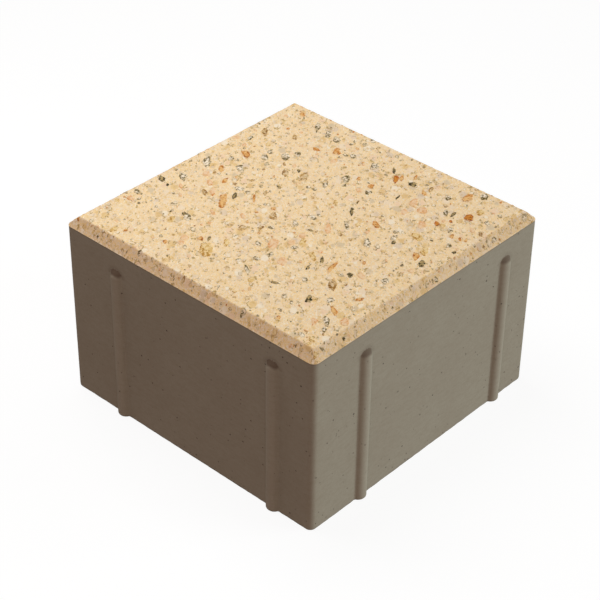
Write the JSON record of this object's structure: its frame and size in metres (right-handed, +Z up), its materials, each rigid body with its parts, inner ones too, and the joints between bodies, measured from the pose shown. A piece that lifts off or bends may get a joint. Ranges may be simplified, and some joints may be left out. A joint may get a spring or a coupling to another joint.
{
  "type": "paving sett",
  "caption": "Square pressed concrete paving sett with a chamfered facing of granite chips and upright half-round spacer ribs on its walls.",
  "frame": {"origin": "middle of the bed face, on the ground", "axes": "+Z up, from the bed to the tread; X and Y square to the walls"},
  "size_m": [0.098, 0.098, 0.06],
  "materials": {
    "concrete_body": "fair-faced pressed concrete, grey-brown, matt, with fine pores",
    "granite_facing": "blasted granite-chip facing, cream-yellow, matt, with white, grey, brown and black chips"
  },
  "bodies": {
    "root": {"concrete_body": "concrete_body", "granite_facing": "granite_facing"}
  },
  "joints": []
}
